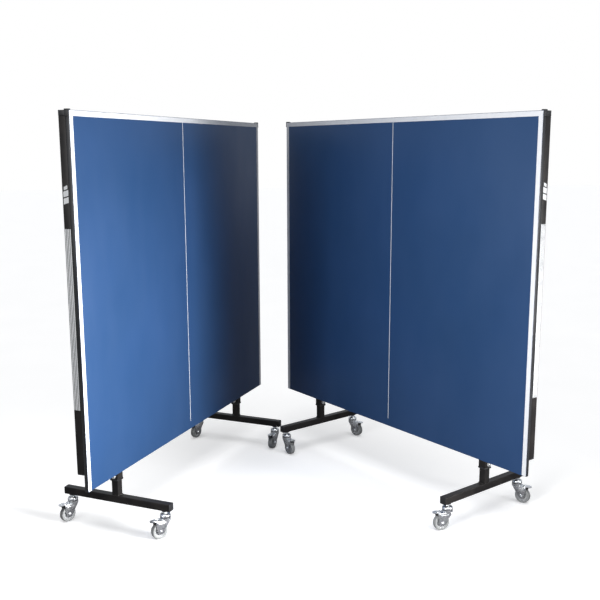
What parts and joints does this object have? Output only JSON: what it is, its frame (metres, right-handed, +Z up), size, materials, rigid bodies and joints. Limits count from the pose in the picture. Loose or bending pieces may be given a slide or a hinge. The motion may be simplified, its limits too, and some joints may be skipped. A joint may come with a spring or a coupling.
{
  "type": "ping pong table",
  "caption": "Folding ping pong table in two rolling halves, stored upright, with blue playing faces, braked casters and self-opening legs.",
  "frame": {"origin": "centre of the bounding box at floor level, the two halves standing upright in a V that opens towards -Y", "axes": "+X across the pair from the left half to the right half, +Y away from the viewer into the closed end of the V, +Z up"},
  "size_m": [1.9534, 1.442, 1.617],
  "materials": {
    "board": "semi-matt blue coating on both faces of a dense fibreboard",
    "black_steel": "black powder coat",
    "zinc": "bright zinc plate",
    "knob_metal": "satin",
    "black_plastic": "fine grain",
    "black_rubber": "matt",
    "wheel_rubber": "matt grey tread on a grey plastic hub"
  },
  "bodies": {
    "frame_a": {"foot_l_a": "black_steel", "foot_r_a": "black_steel", "upright_frame_a": "black_steel", "beam_caps_a": "black_plastic", "caster_stems_a": "zinc", "lock_knobs_a": "knob_metal"},
    "top_a": {"panel_a": "board", "rail_l_a": "black_steel", "rail_r_a": "black_steel", "baseline_tube_a": "black_steel", "pivot_tube_a": "black_steel", "leg_tube_a": "black_steel", "tube_plugs_a": "black_plastic", "corner_guards_a": "black_plastic", "pivot_bolts_a": "zinc"},
    "legs_a": {"leg_frame_a": "black_steel", "leg_feet_a": "black_rubber"},
    "links_a": {"link_rods_a": "zinc"},
    "fork_a1": {"fork_a1": "zinc"},
    "wheel_a1": {"wheel_a1": "wheel_rubber"},
    "pedal_a1": {"pedal_a1": "zinc"},
    "fork_a2": {"fork_a2": "zinc"},
    "wheel_a2": {"wheel_a2": "wheel_rubber"},
    "pedal_a2": {"pedal_a2": "zinc"},
    "fork_a3": {"fork_a3": "zinc"},
    "wheel_a3": {"wheel_a3": "wheel_rubber"},
    "pedal_a3": {"pedal_a3": "zinc"},
    "fork_a4": {"fork_a4": "zinc"},
    "wheel_a4": {"wheel_a4": "wheel_rubber"},
    "pedal_a4": {"pedal_a4": "zinc"},
    "frame_b": {"foot_l_b": "black_steel", "foot_r_b": "black_steel", "upright_frame_b": "black_steel", "beam_caps_b": "black_plastic", "caster_stems_b": "zinc", "lock_knobs_b": "knob_metal"},
    "top_b": {"panel_b": "board", "rail_l_b": "black_steel", "rail_r_b": "black_steel", "baseline_tube_b": "black_steel", "pivot_tube_b": "black_steel", "leg_tube_b": "black_steel", "tube_plugs_b": "black_plastic", "corner_guards_b": "black_plastic", "pivot_bolts_b": "zinc"},
    "legs_b": {"leg_frame_b": "black_steel", "leg_feet_b": "black_rubber"},
    "links_b": {"link_rods_b": "zinc"},
    "fork_b1": {"fork_b1": "zinc"},
    "wheel_b1": {"wheel_b1": "wheel_rubber"},
    "pedal_b1": {"pedal_b1": "zinc"},
    "fork_b2": {"fork_b2": "zinc"},
    "wheel_b2": {"wheel_b2": "wheel_rubber"},
    "pedal_b2": {"pedal_b2": "zinc"},
    "fork_b3": {"fork_b3": "zinc"},
    "wheel_b3": {"wheel_b3": "wheel_rubber"},
    "pedal_b3": {"pedal_b3": "zinc"},
    "fork_b4": {"fork_b4": "zinc"},
    "wheel_b4": {"wheel_b4": "wheel_rubber"},
    "pedal_b4": {"pedal_b4": "zinc"}
  },
  "joints": [
    {"name": "half_b_swing", "type": "hinge", "parent": "frame_a", "child": "frame_b", "pos_m": [0.08165, -0.38129, 0], "axis": [0, 0, -1], "range_deg": [0, 59.28]},
    {"name": "tilt_a", "type": "hinge", "parent": "frame_a", "child": "top_a", "pos_m": [-0.47363, 0.05381, 0.724], "axis": [-0.4945, -0.8691, 0], "range_deg": [0, 90]},
    {"name": "legs_a_fold", "type": "hinge", "parent": "top_a", "child": "legs_a", "pos_m": [-0.51187, 0.07557, 1.438], "axis": [0.4945, 0.8691, 0], "range_deg": [0, 90]},
    {"name": "links_a_swing", "type": "hinge", "parent": "frame_a", "child": "links_a", "pos_m": [-0.5084, 0.0736, 0.684], "axis": [-0.4945, -0.8691, 0], "range_deg": [0, 90]},
    {"name": "swivel_a1", "type": "hinge", "parent": "frame_a", "child": "fork_a1", "pos_m": [-0.02255, 0.40981, 0.09], "axis": [0, 0, 1], "continuous": true},
    {"name": "roll_a1", "type": "hinge", "parent": "fork_a1", "child": "wheel_a1", "pos_m": [-0.03773, 0.38629, 0.032], "axis": [0.8402, -0.5423, 0], "continuous": true},
    {"name": "brake_a1", "type": "hinge", "parent": "fork_a1", "child": "pedal_a1", "pos_m": [-0.04424, 0.37621, 0.068], "axis": [0.8402, -0.5423, 0], "range_deg": [0, 18]},
    {"name": "swivel_a2", "type": "hinge", "parent": "frame_a", "child": "fork_a2", "pos_m": [-0.54924, -0.51583, 0.09], "axis": [0, 0, 1], "continuous": true},
    {"name": "roll_a2", "type": "hinge", "parent": "fork_a2", "child": "wheel_a2", "pos_m": [-0.57345, -0.5299, 0.032], "axis": [0.5024, -0.8646, 0], "continuous": true},
    {"name": "brake_a2", "type": "hinge", "parent": "fork_a2", "child": "pedal_a2", "pos_m": [-0.58383, -0.53593, 0.068], "axis": [0.5024, -0.8646, 0], "range_deg": [0, 18]},
    {"name": "swivel_a3", "type": "hinge", "parent": "frame_a", "child": "fork_a3", "pos_m": [-0.39802, 0.62346, 0.09], "axis": [0, 0, 1], "continuous": true},
    {"name": "roll_a3", "type": "hinge", "parent": "fork_a3", "child": "wheel_a3", "pos_m": [-0.41706, 0.60293, 0.032], "axis": [0.7333, -0.68, 0], "continuous": true},
    {"name": "brake_a3", "type": "hinge", "parent": "fork_a3", "child": "pedal_a3", "pos_m": [-0.42522, 0.59413, 0.068], "axis": [0.7333, -0.68, 0], "range_deg": [0, 18]},
    {"name": "swivel_a4", "type": "hinge", "parent": "frame_a", "child": "fork_a4", "pos_m": [-0.92471, -0.30219, 0.09], "axis": [0, 0, 1], "continuous": true},
    {"name": "roll_a4", "type": "hinge", "parent": "fork_a4", "child": "wheel_a4", "pos_m": [-0.94547, -0.32098, 0.032], "axis": [0.6712, -0.7413, 0], "continuous": true},
    {"name": "brake_a4", "type": "hinge", "parent": "fork_a4", "child": "pedal_a4", "pos_m": [-0.95436, -0.32903, 0.068], "axis": [0.6712, -0.7413, 0], "range_deg": [0, 18]},
    {"name": "tilt_b", "type": "hinge", "parent": "frame_b", "child": "top_b", "pos_m": [0.47735, -0.03699, 0.724], "axis": [-0.4945, 0.8691, 0], "range_deg": [0, 90]},
    {"name": "legs_b_fold", "type": "hinge", "parent": "top_b", "child": "legs_b", "pos_m": [0.51559, -0.01523, 1.438], "axis": [0.4945, -0.8691, 0], "range_deg": [0, 90]},
    {"name": "links_b_swing", "type": "hinge", "parent": "frame_b", "child": "links_b", "pos_m": [0.51211, -0.0172, 0.684], "axis": [-0.4945, 0.8691, 0], "range_deg": [0, 90]},
    {"name": "swivel_b1", "type": "hinge", "parent": "frame_b", "child": "fork_b1", "pos_m": [0.55296, -0.60663, 0.09], "axis": [0, 0, 1], "continuous": true},
    {"name": "roll_b1", "type": "hinge", "parent": "fork_b1", "child": "wheel_b1", "pos_m": [0.5256, -0.61257, 0.032], "axis": [0.212, -0.9773, 0], "continuous": true},
    {"name": "brake_b1", "type": "hinge", "parent": "fork_b1", "child": "pedal_b1", "pos_m": [0.51387, -0.61511, 0.068], "axis": [0.212, -0.9773, 0], "range_deg": [0, 18]},
    {"name": "swivel_b2", "type": "hinge", "parent": "frame_b", "child": "fork_b2", "pos_m": [0.02627, 0.31901, 0.09], "axis": [0, 0, 1], "continuous": true},
    {"name": "roll_b2", "type": "hinge", "parent": "fork_b2", "child": "wheel_b2", "pos_m": [0.03908, 0.29412, 0.032], "axis": [0.8891, 0.4577, 0], "continuous": true},
    {"name": "brake_b2", "type": "hinge", "parent": "fork_b2", "child": "pedal_b2", "pos_m": [0.04457, 0.28345, 0.068], "axis": [0.8891, 0.4577, 0], "range_deg": [0, 18]},
    {"name": "swivel_b3", "type": "hinge", "parent": "frame_b", "child": "fork_b3", "pos_m": [0.92843, -0.39299, 0.09], "axis": [0, 0, 1], "continuous": true},
    {"name": "roll_b3", "type": "hinge", "parent": "fork_b3", "child": "wheel_b3", "pos_m": [0.94726, -0.41371, 0.032], "axis": [0.7403, 0.6722, 0], "continuous": true},
    {"name": "brake_b3", "type": "hinge", "parent": "fork_b3", "child": "pedal_b3", "pos_m": [0.95532, -0.4226, 0.068], "axis": [0.7403, 0.6722, 0], "range_deg": [0, 18]},
    {"name": "swivel_b4", "type": "hinge", "parent": "frame_b", "child": "fork_b4", "pos_m": [0.40174, 0.53266, 0.09], "axis": [0, 0, 1], "continuous": true},
    {"name": "roll_b4", "type": "hinge", "parent": "fork_b4", "child": "wheel_b4", "pos_m": [0.4202, 0.5116, 0.032], "axis": [0.752, 0.6592, 0], "continuous": true},
    {"name": "brake_b4", "type": "hinge", "parent": "fork_b4", "child": "pedal_b4", "pos_m": [0.42811, 0.50258, 0.068], "axis": [0.752, 0.6592, 0], "range_deg": [0, 18]}
  ],
  "couplings": [
    {"joint": "tilt_a", "follows": "half_b_swing", "ratio": 1.518},
    {"joint": "legs_a_fold", "follows": "half_b_swing", "ratio": 1.518},
    {"joint": "links_a_swing", "follows": "half_b_swing", "ratio": 1.518},
    {"joint": "tilt_b", "follows": "half_b_swing", "ratio": 1.518},
    {"joint": "legs_b_fold", "follows": "half_b_swing", "ratio": 1.518},
    {"joint": "links_b_swing", "follows": "half_b_swing", "ratio": 1.518}
  ]
}
